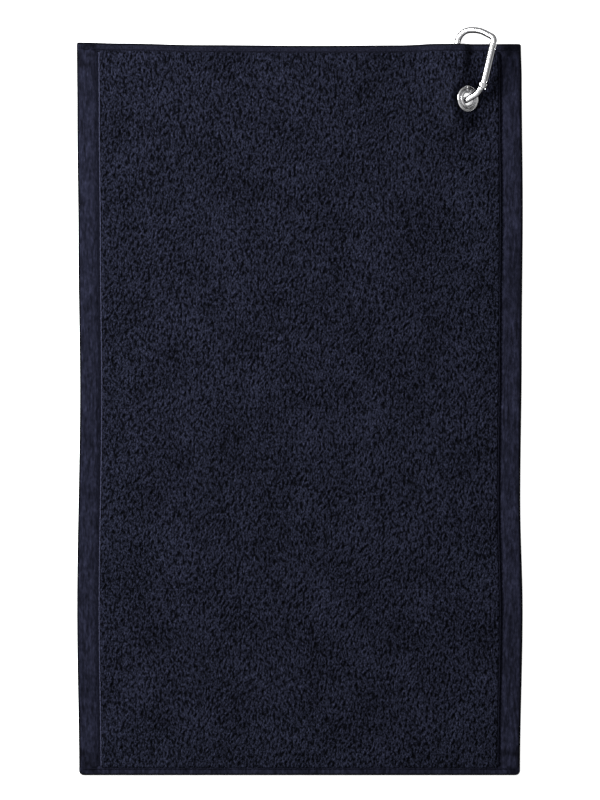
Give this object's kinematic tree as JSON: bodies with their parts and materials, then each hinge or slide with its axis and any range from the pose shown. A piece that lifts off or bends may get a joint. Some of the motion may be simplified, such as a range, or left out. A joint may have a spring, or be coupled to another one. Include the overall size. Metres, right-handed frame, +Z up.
{
  "type": "golf towel",
  "caption": "Hemmed terry golf towel laid flat, with a metal corner eyelet and a D-shaped spring clip hooked through it.",
  "frame": {"origin": "centre of the towel's underside, on the floor it lies on", "axes": "+X across the towel towards the side with the eyelet, +Y along the towel towards the end with the clip, +Z up out of the face with the eyelet's flange"},
  "size_m": [0.301, 0.5094, 0.0159],
  "materials": {
    "terry": "navy cotton terry, loop pile on both faces",
    "flat_weave": "navy flat-woven band",
    "thread": "navy sewing thread",
    "nickel": "polished nickel plate",
    "spring_steel": "drawn spring wire"
  },
  "bodies": {
    "towel": {"terry_panel": "terry", "left_hem": "flat_weave", "right_hem": "flat_weave", "bottom_hem": "flat_weave", "top_hem": "flat_weave", "left_seam_needle_thread": "thread", "left_seam_bobbin_thread": "thread", "right_seam_needle_thread": "thread", "right_seam_bobbin_thread": "thread", "bottom_seam_needle_thread": "thread", "bottom_seam_bobbin_thread": "thread", "top_seam_needle_thread": "thread", "top_seam_bobbin_thread": "thread", "eyelet": "nickel", "eyelet_washer": "nickel"},
    "clip": {"carabiner_body": "nickel", "gate_rivet": "nickel"},
    "gate": {"carabiner_gate": "nickel", "latch_pin": "nickel", "gate_spring": "spring_steel"},
    "plunger": {"spring_plunger": "nickel"}
  },
  "joints": [
    {"name": "clip_swing", "type": "hinge", "parent": "towel", "child": "clip", "pos_m": [0.1139, 0.2111, 0.00631], "axis": [0, 0, -1], "range_deg": [-12, 5]},
    {"name": "gate_hinge", "type": "hinge", "parent": "clip", "child": "gate", "pos_m": [0.12441, 0.22044, 0.01077], "axis": [-0.4066, 0.0217, 0.9133], "range_deg": [0, 20], "stiffness_Nm_per_rad": 0.02, "springref_deg": -20.05},
    {"name": "plunger_slide", "type": "slide", "parent": "gate", "child": "plunger", "axis": [0.2296, 0.9701, 0.0792], "range_m": [0, 0.0004], "deforming": ["gate_spring"]}
  ],
  "couplings": [
    {"joint": "plunger_slide", "follows": "gate_hinge", "m_per_rad": 0.001}
  ]
}
